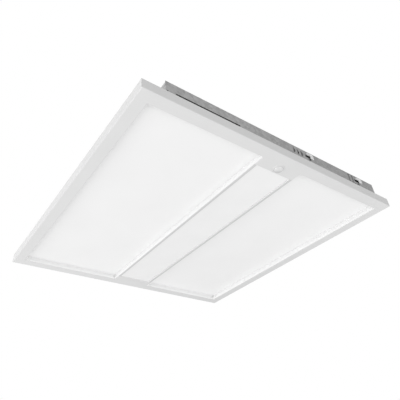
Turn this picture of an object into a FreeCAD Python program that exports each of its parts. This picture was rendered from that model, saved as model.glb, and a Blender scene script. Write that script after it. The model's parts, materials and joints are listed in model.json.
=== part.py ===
"""Lay-in recessed troffer light, 603 mm square, with two opal lenses and a middle spine.

Frame: origin at the centre of the face, z = 0 on the face that shows in the room, +Z up into the
ceiling. The end with the sensor is at -Y. All lengths are millimetres.
"""
import FreeCAD, Part
import math
import os

# ------------------------------------------------------------------ driving sizes
# face frame
FACE_SIZE = 603.0          # outside of the square face, for a 610 mm ceiling grid
LIP_HEIGHT = 19.0          # outer lip, up from the face
FRAME_SHEET = 0.8
LIP_BEND = 1.6             # outside radius of the bend between face and lip
EDGE_BEND = 0.9            # outside radius of the bends round the openings
FLANGE_WIDTH = 22.5        # outer lip to the lens openings
SPINE_WIDTH = 95.0         # between the two lens openings
RETURN_LIP = 6.0           # lip round each lens opening, up from the face
COVER_OPENING = 83.0       # width of the middle opening
END_BAND = 44.0            # outer lip to the middle opening, at each end
COVER_LIP = 3.4            # lip round the middle opening

# lenses and their bezels
LENS_DEPTH = 12.0          # face to the lens
LENS_THICKNESS = 2.5
LENS_BEARING = 6.5         # how far the lens lies on its bezel
BEZEL_SHEET = 0.8
BEZEL_FOOT = 9.0
GASKET_WIDTH = 14.0
GASKET_END_WIDTH = 5.0

# centre cover
COVER_SHEET = 0.8
COVER_RECESS = 1.8         # face to the cover's face
COVER_WALL = 9.0           # height of the cover's turned-up sides
COVER_END_WALL = 3.0       # height of its turned-up ends
SPRING_HEIGHT = 22.0
SPRING_WIDTH = 16.0
SPRING_SHEET = 0.4
SPRING_FOOT = 9.0          # foot of the leaf, flat on the cover
SPRING_KICK = 4.0          # height over which the leaf kicks outwards
SPRING_TIP = 1.5           # how far its tip leans back in
SPRING_ROOM = 67.5         # cover's end to each pair of springs

# sensor
SENSOR_INSET = 32.0        # outside of the face to the sensor's centre
SENSOR_HOLE = 10.3         # radius of its hole in the end band
SENSOR_BEZEL = 11.5        # radius
SENSOR_DOME = 8.6          # radius of the dome's foot
DOME_HEIGHT = 3.2
BEZEL_HEIGHT = 1.2
BEZEL_SLOPE = 0.84         # how far its rim slopes in
SENSOR_BODY = 26.0         # face to the back of the body
SENSOR_NECK = 2.0          # how far the bezel's neck stands past the face sheet
SENSOR_SHOULDER = 1.5      # radius at the back of the body
SENSOR_SOCKET = (9.0, 6.0, 5.0)

# back pan
TROFFER_DEPTH = 42.0       # face to the top of the pan
PAN_INSET = 42.5           # outside of the face to the pan's side
PAN_SHEET = 0.6
PAN_FLANGE_DEPTH = 18.2    # face to the top of the pan's flange
BEAD_WIDTH = 12.0          # stiffening beads pressed into the roof
BEAD_ROOM = 91.5           # outside of the face to the end of a bead
BEAD_DEPTH = 0.9
BEAD_PLACES = (95.0, 175.0)
TIE_HOLE = 3.2             # radius of the tie-wire holes
TIE_INSET = (9.5, 31.5)    # from the outside of the face, along X and along Y

# end plates
PLATE_LAP = 1.0            # how far the plate stands past each side of the pan
PLATE_SHEET = 0.8
PLATE_FLANGE = 12.0
TAB_COUNT = 3              # tabs that hook down inside the lip
TAB_WIDTH = 18.0
TAB_FOOT = 9.5
LONG_SLOT = (128.0, 3.6)    # length and height
LONG_SLOT_INSET = 18.0     # plate's end to the long slot
SHORT_SLOT = (26.0, 1.6)
SHORT_SLOT_ROOM = 1.0      # short slot to the outer clip's pin
SLOT_RISE = 1.2            # lip's top to the foot of the slots
CORNER_HOLE = 1.6          # radius of the hole near the plate's end
CORNER_HOLE_INSET = 3.2
LOUVRE_COUNT = 3
LOUVRE_PITCH = 10.2
LOUVRE_ROOM = 22.5         # last louvre to the inner clip's pin
LOUVRE_SPAN = (25.5, 35.5)
LOUVRE_WIDTH = 2.0
LOUVRE_RISE = 1.3
LOUVRE_LIP = 2.6           # length of the lanced lip beside a slot
GROOVE_ROOMS = (30.0, 18.5)  # each groove to the outer clip's pin
GROOVE_WIDTH = 4.0
GROOVE_DEPTH = 1.6
GROOVE_ENDS = (1.5, 2.5)   # lip's top to a groove's foot, and its top to the roof
RIVET_RADIUS = 2.0
RIVET_HEAD = 3.2           # radius
RIVET_HEAD_HEIGHT = 1.4
RIVET_CROWN = 0.7          # part of a rivet head's height that is bevelled
RIVETS_PER_END = 4

# grid clips: an angle that swings on a pin in front of its window
OUTER_CLIP_INSET = 52.0    # plate's end to the outer clip's pin
CLIP_PITCH = 148.0         # between the two clips of an end
CLIP_FOOT = 23.5           # face to the foot of the clip's leaf
CLIP_TOP = 33.3            # face to the top of its bar
CLIP_LENGTH = 11.5         # pin to the end of the bar
CLIP_LEAF = 3.9            # pin to the outside of the leaf
CLIP_REACH = 2.2           # how far the clip stands out past its pin
CLIP_SHEET = 0.8
CLIP_BEND = 2.6            # outside radius of its corner
WINDOW_FOOT = 27.5
PIN_RADIUS = 0.8
KNUCKLE_RADIUS = 1.6
KNUCKLE_FOOT = 24.2
LUG_HEIGHT = 1.8

# light boxes
TRAY_SHEET = 0.5
TRAY_LAP = 4.5             # how far the light boxes reach past the lens openings
TRAY_ROOF_GAP = 1.2        # under the roof, clear of its beads
BOARD_WIDTH = 24.0
BOARD_THICKNESS = 1.6
BOARD_ROOM = 23.5          # end of the light box to the end of a board
BOARDS_PER_SIDE = 3
LED_SIZE = 3.5
LED_HEIGHT = 0.7
LEDS_PER_BOARD = 12

# driver space
DIVIDER_SHEET = 0.8
DIVIDER_FLANGE = 10.0
DRIVER_LENGTH = 280.0
DRIVER_WIDTH = 42.0
DRIVER_HEIGHT = 21.0
DRIVER_PLATE = 0.8
DRIVER_SHEET = 0.8
DRIVER_EAR = 14.0
EAR_CORNER = 4.0           # corner cut off an ear
CASE_CORNER = 2.0          # radius
TERMINAL_SIZE = (26.0, 12.0, 13.0)
TERMINAL_WAYS = 4
TERMINAL_ENTRY = 1.3       # radius
TERMINAL_DEPTH = 6.0       # of each entry
CIRCUIT_RISE = 3.0         # case's floor to the circuit board
CIRCUIT_THICKNESS = 1.6
TRANSFORMER_SIZE = (26.0, 30.0, 13.0)
CAPACITOR_SIZE = (5.0, 14.0)  # radius and height
CHOKE_SIZE = (9.0, 3.5, 8.0)  # outer radius, bore and height
PART_PITCH = 42.0          # along the circuit board
SCREW_RADIUS = 1.75
HEAD_RADIUS = 3.6
HEAD_HEIGHT = 1.8
HEAD_CROWN = 0.4           # part of a head's height that is bevelled

# wiring box and its lid
BOX_WIDTH = 76.0
BOX_LENGTH = 106.0
BOX_INSET = 33.5           # outside of the face to the end of the box
BOX_FLOOR = 12.0
BOX_SHEET = 0.8
EARTH_PLACE = (14.0, 14.0)  # from the side and from the inner end of the box
LEAD_HOLE = 5.0            # radius of the hole for the leads to the driver
LEAD_HOLE_PLACE = (16.0, 14.0)  # from the side and from the floor of the box
SUPPLY_SIZE = (30.0, 16.0, 13.0)  # block that takes the supply leads
SUPPLY_ROOM = 8.0          # box's outer end to the block
SUPPLY_WAYS = 3
SUPPLY_ENTRY = 1.8         # radius
RELEASE_SIZE = (3.2, 3.0, 3.0)  # pocket over each entry
SUPPLY_CHAMFER = 1.0       # along the top edges of the block
BOX_RIM = (8.0, 10.0)      # roof left standing over the box, along X and along Y
LID_INSET = (2.0, 1.0)     # box's side to the lid's edge, along X and along Y
LID_SCREW_INSET = 4.5
LID_SHEET = 0.8
LID_CORNER = 5.0           # radius
LID_PIN = 1.2              # radius
LID_PIN_END = 1.0          # how far the pin stands past the lid's edge
LID_KNUCKLE = 2.1          # radius
LID_LUG = 4.0
LID_KNUCKLE_LENGTH = 12.0
SLUG_DIMPLE = 2.0          # radius
ENTRY_RADIUS = 11.1        # conduit knock-outs in the lid
ENTRY_PITCH = 38.0
BUSHING_BORE = 8.0
BUSHING_LIP = 13.6
BUSHING_LIP_HEIGHT = 1.6
BUSHING_NECK = 3.0         # how far the neck stands under the lid

# corner brackets
BRACKET_LEG = 42.0
BRACKET_WIDTH = 9.0
BRACKET_SHEET = 1.0

# clearances
SLIDE_GAP = 0.4            # round the cover, the springs and the sensor
SEAT_GAP = 0.1             # between fixed sheets that fit into each other
SWING_GAP = 0.4            # round what swings
PIN_GAP = 0.06             # radial, pins in their knuckles
THROUGH = 4.0              # how far a cutting shape stands past what it cuts
SIDES = 12                 # sides of small fasteners, their holes and the ends of pressed beads
RING_SIDES = 24            # sides of the sensor, the knock-outs and the bushing
DOME_STEPS = 4             # straight steps in the dome's curve

# ------------------------------------------------------------------ places that follow
FACE_HALF = FACE_SIZE / 2
LENS_EDGE = FACE_HALF - FLANGE_WIDTH
SPINE_HALF = SPINE_WIDTH / 2
COVER_HALF = COVER_OPENING / 2
COVER_END = FACE_HALF - END_BAND
SENSOR_PLACE = FACE_HALF - SENSOR_INSET
PAN_HALF = FACE_HALF - PAN_INSET
PLATE_HALF = PAN_HALF + PLATE_LAP
OUTER_CLIP = PLATE_HALF - OUTER_CLIP_INSET
INNER_CLIP = OUTER_CLIP - CLIP_PITCH
CLIP_PLACES = (INNER_CLIP, OUTER_CLIP)
ROOF_UNDER = TROFFER_DEPTH - PAN_SHEET
FLANGE_UNDER = PAN_FLANGE_DEPTH - PAN_SHEET
INSIDE_LIP = FACE_HALF - FRAME_SHEET - SEAT_GAP
PLATE_INSIDE = INSIDE_LIP - PLATE_SHEET
DIVIDER_OUT = COVER_HALF + FRAME_SHEET + SEAT_GAP + DIVIDER_SHEET + SLIDE_GAP
DIVIDER_IN = DIVIDER_OUT - DIVIDER_SHEET
BEZEL_INNER = SEAT_GAP + FRAME_SHEET          # bezel's wall stands behind the return lip
LENS_IN = DIVIDER_OUT + SLIDE_GAP
LENS_OUT = LENS_EDGE + BEZEL_INNER + BEZEL_SHEET + LENS_BEARING
LENS_TOP = LENS_DEPTH + LENS_THICKNESS
TRAY_END = LENS_EDGE + TRAY_LAP
TRAY_TOP = ROOF_UNDER - TRAY_ROOF_GAP
TRAY_OUT = PAN_HALF - PAN_SHEET - SWING_GAP
BOARD_FOOT = TRAY_TOP - TRAY_SHEET - BOARD_THICKNESS
BOARD_END = TRAY_END - BOARD_ROOM
BOX_END = FACE_HALF - BOX_INSET
BOX_CENTRE = BOX_END - BOX_LENGTH / 2
LID_WIDTH = BOX_WIDTH - 2 * LID_INSET[0]
LID_LENGTH = BOX_LENGTH - 2 * LID_INSET[1]
DRIVER_CENTRE = (BOX_END - BOX_LENGTH - SENSOR_PLACE) / 2
LID_FOOT = TROFFER_DEPTH
LID_TOP = LID_FOOT + LID_SHEET
LID_HINGE_Y = BOX_CENTRE + LID_LENGTH / 2 + LID_KNUCKLE
LID_HINGE_Z = LID_FOOT + LID_KNUCKLE + SWING_GAP
CLIP_AXIS_Y = INSIDE_LIP + FRAME_SHEET + KNUCKLE_RADIUS + SEAT_GAP

LENS_OPENING = (SPINE_HALF, LENS_EDGE, -LENS_EDGE, LENS_EDGE)
MIDDLE_OPENING = (-COVER_HALF, COVER_HALF, -COVER_END, COVER_END)
X_AXIS = FreeCAD.Vector(1, 0, 0)
Y_AXIS = FreeCAD.Vector(0, 1, 0)
Z_AXIS = FreeCAD.Vector(0, 0, 1)
ORIGIN = FreeCAD.Vector(0, 0, 0)


# ------------------------------------------------------------------ helpers
def block(x0, x1, y0, y1, z0, z1):
    return Part.makeBox(x1 - x0, y1 - y0, z1 - z0, FreeCAD.Vector(x0, y0, z0))


def slab(area, z0, z1):
    return block(area[0], area[1], area[2], area[3], z0, z1)


def grown(area, by):
    return (area[0] - by, area[1] + by, area[2] - by, area[3] + by)


def square(half):
    return (-half, half, -half, half)


def rod(x, y, z, radius, length, axis=Z_AXIS):
    return Part.makeCylinder(radius, length, FreeCAD.Vector(x, y, z), axis)


def peg(x, y, z, radius, length, axis=Z_AXIS):
    """A small round thing drawn with few sides, standing on (x, y, z) and running along an axis."""
    other = X_AXIS if abs(axis.x) < 0.5 else Y_AXIS
    first = axis.cross(other)
    second = axis.cross(first)
    base = FreeCAD.Vector(x, y, z)
    points = []
    for index in range(SIDES):
        turn = 2 * math.pi * (index + 0.5) / SIDES
        points.append(base + first * (radius * math.cos(turn)) + second * (radius * math.sin(turn)))
    return extruded(points, axis * length)


def spun(x, y, profile, sides=RING_SIDES):
    """A many-sided solid about an upright line at (x, y), from pairs of (radius, height)."""
    rings = []
    for radius, z in profile:
        turns = [2 * math.pi * (index + 0.5) / sides for index in range(sides)]
        rings.append([FreeCAD.Vector(x + radius * math.cos(turn), y + radius * math.sin(turn), z)
                      for turn in turns])
    loops = [rings[0], rings[-1]]
    for low, high in zip(rings, rings[1:]):
        loops += [[low[index - 1], low[index], high[index], high[index - 1]]
                  for index in range(sides)]
    faces = [Part.Face(Part.makePolygon(loop + loop[:1])) for loop in loops]
    return Part.makeSolid(Part.makeShell(faces)).removeSplitter()


def joined(shapes):
    return shapes[0].multiFuse(shapes[1:]).removeSplitter()


def less(shape, tools):
    return shape.cut(Part.makeCompound(tools)).removeSplitter()


def wall_round(area, thickness, z0, z1):
    """A wall of the given thickness just outside an area."""
    return slab(grown(area, thickness), z0, z1).cut(slab(area, z0, z1))


def mirrored(shape):
    return shape.mirror(ORIGIN, X_AXIS)


def turned(shape):
    """The same piece at the far end, turned half a turn about the middle of the face."""
    copy = shape.copy()
    copy.rotate(ORIGIN, Z_AXIS, 180)
    return copy


def edges_where(shape, test):
    return [edge for edge in shape.Edges if test(edge)]


def lies_on(edge, height):
    ends = [vertex.Point.z for vertex in edge.Vertexes]
    return len(ends) == 2 and all(abs(z - height) < 1e-6 for z in ends)


def on_rim(edge, area):
    """True for an edge that runs along the rim of an area."""
    x0, x1, y0, y1 = area
    points = [vertex.Point for vertex in edge.Vertexes]
    along_x = any(all(abs(p.y - y) < 1e-6 for p in points) for y in (y0, y1))
    along_y = any(all(abs(p.x - x) < 1e-6 for p in points) for x in (x0, x1))
    inside = all(x0 - 1e-6 < p.x < x1 + 1e-6 and y0 - 1e-6 < p.y < y1 + 1e-6 for p in points)
    return inside and (along_x or along_y)


def evenly(first, last, count):
    step = (last - first) / count
    return [first + step * (index + 0.5) for index in range(count)]


def extruded(points, direction):
    wire = Part.makePolygon(points + points[:1])
    return Part.Face(wire).extrude(direction)


def screw(x, y, head_z, length, up=True):
    """A pan-head screw with its head's seat at head_z. Its shank points away from the head."""
    side = 1 if up else -1
    crown = HEAD_HEIGHT * HEAD_CROWN
    profile = [(SCREW_RADIUS, head_z - side * length), (SCREW_RADIUS, head_z),
               (HEAD_RADIUS, head_z), (HEAD_RADIUS, head_z + side * (HEAD_HEIGHT - crown)),
               (HEAD_RADIUS - crown, head_z + side * HEAD_HEIGHT)]
    return spun(x, y, profile, SIDES)


# ------------------------------------------------------------------ face frame
def lens_areas():
    right = LENS_OPENING
    return [(-right[1], -right[0], right[2], right[3]), right]


def face_frame():
    outer = slab(square(FACE_HALF), 0, LIP_HEIGHT)
    outer = outer.makeFillet(LIP_BEND, edges_where(outer, lambda edge: lies_on(edge, 0)))
    inner = slab(square(FACE_HALF - FRAME_SHEET), FRAME_SHEET, LIP_HEIGHT + 1)
    inner_bend = edges_where(inner, lambda edge: lies_on(edge, FRAME_SHEET))
    inner = inner.makeFillet(LIP_BEND - FRAME_SHEET, inner_bend)
    frame = outer.cut(inner)
    lips = [wall_round(area, FRAME_SHEET, 0, RETURN_LIP) for area in lens_areas()]
    lips.append(wall_round(MIDDLE_OPENING, FRAME_SHEET, 0, COVER_LIP))
    openings = lens_areas() + [MIDDLE_OPENING]
    cuts = [slab(area, -1, LIP_HEIGHT) for area in openings]
    cuts.append(spun(0, -SENSOR_PLACE, [(SENSOR_HOLE, -1), (SENSOR_HOLE, FRAME_SHEET + 1)]))
    frame = less(joined([frame] + lips), cuts)
    rims = edges_where(frame, lambda edge: lies_on(edge, 0)
                       and any(on_rim(edge, area) for area in openings))
    return frame.makeFillet(EDGE_BEND, rims)


def corner_bracket():
    """One right-angled bracket of C section, inside the corner at +X, +Y."""
    out = INSIDE_LIP
    leg = out - BRACKET_LEG
    step = out - BRACKET_WIDTH
    top = FLANGE_UNDER
    plan = [(out, out), (leg, out), (leg, step), (step, step), (step, leg), (out, leg)]
    points = [FreeCAD.Vector(x, y, FRAME_SHEET) for x, y in plan]
    body = extruded(points, FreeCAD.Vector(0, 0, top - FRAME_SHEET))
    heels = [edge for edge in body.Edges if lies_on(edge, FRAME_SHEET)
             and any(all(abs(v.Point[axis] - out) < 1e-6 for v in edge.Vertexes) for axis in (0, 1))]
    body = body.makeChamfer(LIP_BEND - FRAME_SHEET, heels)
    wall = out - BRACKET_SHEET
    inner_top = top - BRACKET_SHEET
    hollow = block(leg - 1, wall, leg - 1, wall, FRAME_SHEET + BRACKET_SHEET, inner_top)
    place = out - BRACKET_WIDTH / 2
    return less(body, [hollow, peg(place, place, inner_top - 1, SCREW_RADIUS, BRACKET_SHEET + 2)])


def four_corners(shape):
    left = mirrored(shape)
    return [shape, left, turned(shape), turned(left)]


def corner_brackets():
    return Part.makeCompound(four_corners(corner_bracket()))


def frame_screws():
    place = INSIDE_LIP - BRACKET_WIDTH / 2
    one = screw(place, place, PAN_FLANGE_DEPTH, PAN_SHEET + 6.0)
    return Part.makeCompound(four_corners(one))


# ------------------------------------------------------------------ lenses
def lens_bezel():
    """White inner frame of Z section: foot on the face, wall behind the return lip, lens seat."""
    wall_area = grown(LENS_OPENING, BEZEL_INNER)
    wall = wall_round(wall_area, BEZEL_SHEET, FRAME_SHEET, LENS_DEPTH)
    foot = wall_round(wall_area, BEZEL_SHEET + BEZEL_FOOT, FRAME_SHEET, FRAME_SHEET + BEZEL_SHEET)
    seat = wall_round(wall_area, BEZEL_SHEET + LENS_BEARING, LENS_DEPTH - BEZEL_SHEET, LENS_DEPTH)
    bezel = joined([wall, foot, seat])
    spine_side = block(0, DIVIDER_OUT + SEAT_GAP, -FACE_HALF, FACE_HALF, 0, LENS_TOP)
    return less(bezel, [spine_side])


def lens():
    return block(LENS_IN, LENS_OUT, -LENS_OUT, LENS_OUT, LENS_DEPTH, LENS_TOP)


def lens_gasket():
    """Foam strip pressed between the outer edge of the lens and the pan's flange."""
    outer = block(LENS_OUT - GASKET_WIDTH, LENS_OUT, -LENS_OUT, LENS_OUT, LENS_TOP, FLANGE_UNDER)
    half = GASKET_END_WIDTH / 2
    ends = [block(LENS_IN, LENS_OUT, y - half, y + half, LENS_TOP, FLANGE_UNDER)
            for y in (LENS_OUT - half, -LENS_OUT + half)]
    return joined([outer] + ends)


# ------------------------------------------------------------------ centre cover
def cover_area():
    return grown(MIDDLE_OPENING, -SLIDE_GAP)


def centre_cover():
    area = cover_area()
    top = COVER_RECESS + COVER_WALL
    tray = slab(area, COVER_RECESS, top)
    tray = tray.makeFillet(EDGE_BEND, edges_where(tray, lambda e: lies_on(e, COVER_RECESS)))
    hollow = slab(grown(area, -COVER_SHEET), COVER_RECESS + COVER_SHEET, top + 1)
    ends = [block(-COVER_HALF, COVER_HALF, y - COVER_SHEET * 2, y + COVER_SHEET * 2,
                  COVER_RECESS + COVER_END_WALL, top + 1) for y in (area[2], area[3])]
    return less(tray, [hollow] + ends)


def cover_spring(y):
    """A leaf that stands up inside the cover's side, drawn as it passes the middle opening."""
    side = cover_area()[1] - COVER_SHEET
    foot = COVER_RECESS + COVER_SHEET
    kick = COVER_RECESS + COVER_WALL
    lean = cover_area()[1]
    bend = kick + SPRING_KICK
    tip = foot + SPRING_HEIGHT
    base = side - SPRING_FOOT
    outline = [(base, foot), (side, foot), (side, kick), (lean, bend), (lean - SPRING_TIP, tip)]
    inner = [(x - SPRING_SHEET, z) for x, z in reversed(outline[2:])]
    inner += [(side - SPRING_SHEET, foot + SPRING_SHEET), (base, foot + SPRING_SHEET)]
    points = [FreeCAD.Vector(x, y - SPRING_WIDTH / 2, z) for x, z in outline + inner]
    return extruded(points, FreeCAD.Vector(0, SPRING_WIDTH, 0))


def cover_springs():
    place = COVER_END - SPRING_ROOM
    right = [cover_spring(y) for y in (-place, place)]
    return Part.makeCompound(right + [mirrored(leaf) for leaf in right])


# ------------------------------------------------------------------ sensor
def sensor_bezel():
    """Ring and neck of the sensor: the ring lies under the face, the neck passes its hole."""
    neck = SENSOR_HOLE - SLIDE_GAP
    bore = SENSOR_DOME + SEAT_GAP
    top = FRAME_SHEET + SENSOR_NECK
    profile = [(SENSOR_BEZEL - BEZEL_SLOPE, -BEZEL_HEIGHT), (SENSOR_BEZEL, 0), (neck, 0), (neck, top)]
    body = spun(0, -SENSOR_PLACE, profile)
    return less(body, [spun(0, -SENSOR_PLACE, [(bore, -BEZEL_HEIGHT - 1), (bore, top + 1)])])


def sensor_lens():
    """Shallow dome below the face, with a straight skirt inside the bezel."""
    ball_radius = (SENSOR_DOME ** 2 + DOME_HEIGHT ** 2) / (2 * DOME_HEIGHT)
    reach = math.asin(SENSOR_DOME / ball_radius)
    profile = []
    for index in range(DOME_STEPS + 1):
        turn = reach * (index + 0.5) / (DOME_STEPS + 0.5)
        drop = ball_radius * (math.cos(turn) - math.cos(reach))
        profile.append((ball_radius * math.sin(turn), -BEZEL_HEIGHT / 2 - drop))
    profile.append((SENSOR_DOME, FRAME_SHEET + SENSOR_NECK))
    return spun(0, -SENSOR_PLACE, profile)


def sensor_housing():
    """Closed body behind the face, with a socket for its lead at the back."""
    radius = SENSOR_HOLE - SLIDE_GAP
    profile = [(radius, FRAME_SHEET + SENSOR_NECK), (radius, SENSOR_BODY - SENSOR_SHOULDER),
               (radius - SENSOR_SHOULDER, SENSOR_BODY)]
    width, length, depth = SENSOR_SOCKET
    socket = block(-width / 2, width / 2, -length / 2 - SENSOR_PLACE, length / 2 - SENSOR_PLACE,
                   SENSOR_BODY - depth, SENSOR_BODY + 1)
    return less(spun(0, -SENSOR_PLACE, profile), [socket])


# ------------------------------------------------------------------ back pan
def pressed_bead(x):
    """A long bead with round ends, pressed down into the roof: (what it adds, what it cuts)."""
    half = FACE_HALF - BEAD_ROOM - BEAD_WIDTH / 2

    def stadium(radius, z0, z1):
        middle = block(x - radius, x + radius, -half, half, z0, z1)
        ends = [peg(x, y, z0, radius / math.cos(math.pi / SIDES), z1 - z0) for y in (-half, half)]
        return joined([middle] + ends)

    cut_radius = BEAD_WIDTH / 2
    added = stadium(cut_radius + PAN_SHEET / 2, ROOF_UNDER - BEAD_DEPTH, ROOF_UNDER + PAN_SHEET / 2)
    cut = stadium(cut_radius, TROFFER_DEPTH - BEAD_DEPTH, TROFFER_DEPTH + 1)
    return added, cut


def roof_opening():
    area = box_area()
    across, along = BOX_RIM
    return (area[0] + across, area[1] - across, area[2] + along, area[3] - along)


def tie_hole_places():
    x = FACE_HALF - TIE_INSET[0]
    y = FACE_HALF - TIE_INSET[1]
    return [(sx * x, sy * y) for sx in (-1, 1) for sy in (-1, 1)]


def lid_screw_y():
    return BOX_CENTRE - LID_LENGTH / 2 + LID_SCREW_INSET


def hinge_lugs():
    """Two ears on the roof that carry the lid's hinge pin."""
    lugs = []
    for side in (-1, 1):
        x0 = side * (LID_WIDTH / 2 - LID_LUG) - LID_LUG / 2
        round_top = peg(x0, LID_HINGE_Y, LID_HINGE_Z, LID_KNUCKLE, LID_LUG, X_AXIS)
        stem = block(x0, x0 + LID_LUG, LID_HINGE_Y - LID_KNUCKLE, LID_HINGE_Y + LID_KNUCKLE,
                     TROFFER_DEPTH, LID_HINGE_Z)
        lug = joined([round_top, stem])
        lugs.append(less(lug, [peg(x0 - 1, LID_HINGE_Y, LID_HINGE_Z, LID_PIN, LID_LUG + 2, X_AXIS)]))
    return lugs


def back_pan():
    end = PLATE_INSIDE - SEAT_GAP
    flange_end = INSIDE_LIP
    roof = block(-PAN_HALF, PAN_HALF, -end, end, FLANGE_UNDER, TROFFER_DEPTH)
    corner = edges_where(roof, lambda e: lies_on(e, TROFFER_DEPTH)
                         and e.Vertexes[0].Point.x == e.Vertexes[1].Point.x)
    roof = roof.makeFillet(PAN_SHEET * 1.5, corner)
    flanges = []
    for x0, x1 in ((-flange_end, -PAN_HALF + PAN_SHEET), (PAN_HALF - PAN_SHEET, flange_end)):
        flanges.append(block(x0, x1, -flange_end, flange_end, FLANGE_UNDER, PAN_FLANGE_DEPTH))
    inside = PAN_HALF - PAN_SHEET
    hollow = block(-inside, inside, -FACE_SIZE, FACE_SIZE, FLANGE_UNDER - 1, ROOF_UNDER)
    beads = [pressed_bead(side * x) for side in (-1, 1) for x in BEAD_PLACES]
    pan = less(roof, [hollow])
    pan = joined([pan] + flanges + [bead[0] for bead in beads])
    cuts = [bead[1] for bead in beads]
    cuts.append(slab(roof_opening(), ROOF_UNDER - 1, TROFFER_DEPTH + 1))
    cuts += [rod(x, y, FLANGE_UNDER - 1, TIE_HOLE, THROUGH) for x, y in tie_hole_places()]
    place = INSIDE_LIP - BRACKET_WIDTH / 2
    hole = peg(place, place, FLANGE_UNDER - 1, SCREW_RADIUS + SEAT_GAP, THROUGH)
    cuts += four_corners(hole)
    cuts.append(peg(0, lid_screw_y(), ROOF_UNDER - 1, SCREW_RADIUS + 2 * SWING_GAP, THROUGH))
    cuts += [peg(0, y, ROOF_UNDER - 1, SCREW_RADIUS + SEAT_GAP, THROUGH)
             for y in driver_screw_places()]
    cuts += rivet_holes()
    return joined([less(pan, cuts)] + hinge_lugs())


# ------------------------------------------------------------------ end plates
def rivet_y():
    return PLATE_INSIDE - PLATE_FLANGE / 2


def rivet_places():
    return evenly(-PAN_HALF, PAN_HALF, RIVETS_PER_END)


def rivet_holes():
    foot = ROOF_UNDER - PLATE_SHEET - 1
    return [peg(x, side * rivet_y(), foot, RIVET_RADIUS, THROUGH)
            for x in rivet_places() for side in (-1, 1)]


def louvre_places():
    last = INNER_CLIP - LOUVRE_ROOM
    return [last - index * LOUVRE_PITCH for index in range(LOUVRE_COUNT)]


def louvre_slot(x):
    """A narrow upright slot whose top turns over to one side."""
    z0, z1 = LOUVRE_SPAN
    half = LOUVRE_WIDTH / 2
    y0 = -INSIDE_LIP - 1
    depth = PLATE_SHEET + 2
    upright = block(x - half, x + half, y0, y0 + depth, z0 + half, z1 - 2 * half)
    foot = peg(x, y0, z0 + half, half, depth, Y_AXIS)
    bend = peg(x - 2 * half, y0, z1 - 2 * half, 3 * half, depth, Y_AXIS)
    bend = bend.cut(peg(x - 2 * half, y0 - 1, z1 - 2 * half, half, depth + 2, Y_AXIS))
    quarter = bend.common(block(x - 2 * half, x + 4 * half, y0, y0 + depth, z1 - 2 * half, z1 + 9))
    return joined([upright, foot, quarter])


def louvre_hood(x):
    """The lanced lip beside a slot, pushed out of the plate."""
    z0, z1 = LOUVRE_SPAN
    x0 = x + LOUVRE_WIDTH / 2
    rise = LOUVRE_RISE
    plan = [(x0, 0), (x0 + LOUVRE_LIP, 0), (x0, -rise)]
    points = [FreeCAD.Vector(px, -INSIDE_LIP + py, z0) for px, py in plan]
    return extruded(points, FreeCAD.Vector(0, 0, z1 - z0 - 2 * LOUVRE_WIDTH))


def clip_window(x):
    """Window that a clip's bar folds into, wide enough for the bar's corner as it swings."""
    sweep = math.hypot(CLIP_LENGTH, CLIP_REACH) + SWING_GAP
    pin_room = CLIP_AXIS_Y - INSIDE_LIP
    y0 = -INSIDE_LIP - 1
    return block(x - sweep, x + pin_room, y0, y0 + PLATE_SHEET + 2, WINDOW_FOOT,
                 CLIP_TOP + SWING_GAP)


def lug_feet():
    """Heights of the feet of the lugs below and above a clip's knuckle."""
    return (KNUCKLE_FOOT - SWING_GAP - LUG_HEIGHT, CLIP_TOP + SWING_GAP)


def clip_lugs(x):
    """Two ears on the plate, above and below the clip's knuckle."""
    lugs = []
    for z in lug_feet():
        ear = peg(x, -CLIP_AXIS_Y, z, KNUCKLE_RADIUS, LUG_HEIGHT)
        stem = block(x, x + KNUCKLE_RADIUS, -CLIP_AXIS_Y, -INSIDE_LIP, z, z + LUG_HEIGHT)
        lug = joined([ear, stem])
        lugs.append(less(lug, [peg(x, -CLIP_AXIS_Y, z - 1, PIN_RADIUS, LUG_HEIGHT + 2)]))
    return lugs


def plate_groove(x):
    """A shallow upright groove pressed into the plate: (what it adds, what it cuts)."""
    half = GROOVE_WIDTH / 2
    z0 = LIP_HEIGHT + GROOVE_ENDS[0]
    z1 = TROFFER_DEPTH - GROOVE_ENDS[1]
    back = -INSIDE_LIP + PLATE_SHEET
    added = block(x - half - PLATE_SHEET / 2, x + half + PLATE_SHEET / 2,
                  back - PLATE_SHEET / 2, back + GROOVE_DEPTH, z0, z1)
    cut = block(x - half, x + half, -INSIDE_LIP - 1, -INSIDE_LIP + GROOVE_DEPTH, z0, z1)
    return added, cut


def plate_slots():
    """The two low slots in the web, as (first x, last x, height)."""
    long_start = LONG_SLOT_INSET - PLATE_HALF
    short_end = OUTER_CLIP - SHORT_SLOT_ROOM
    return [(long_start, long_start + LONG_SLOT[0], LONG_SLOT[1]),
            (short_end - SHORT_SLOT[0], short_end, SHORT_SLOT[1])]


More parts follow.
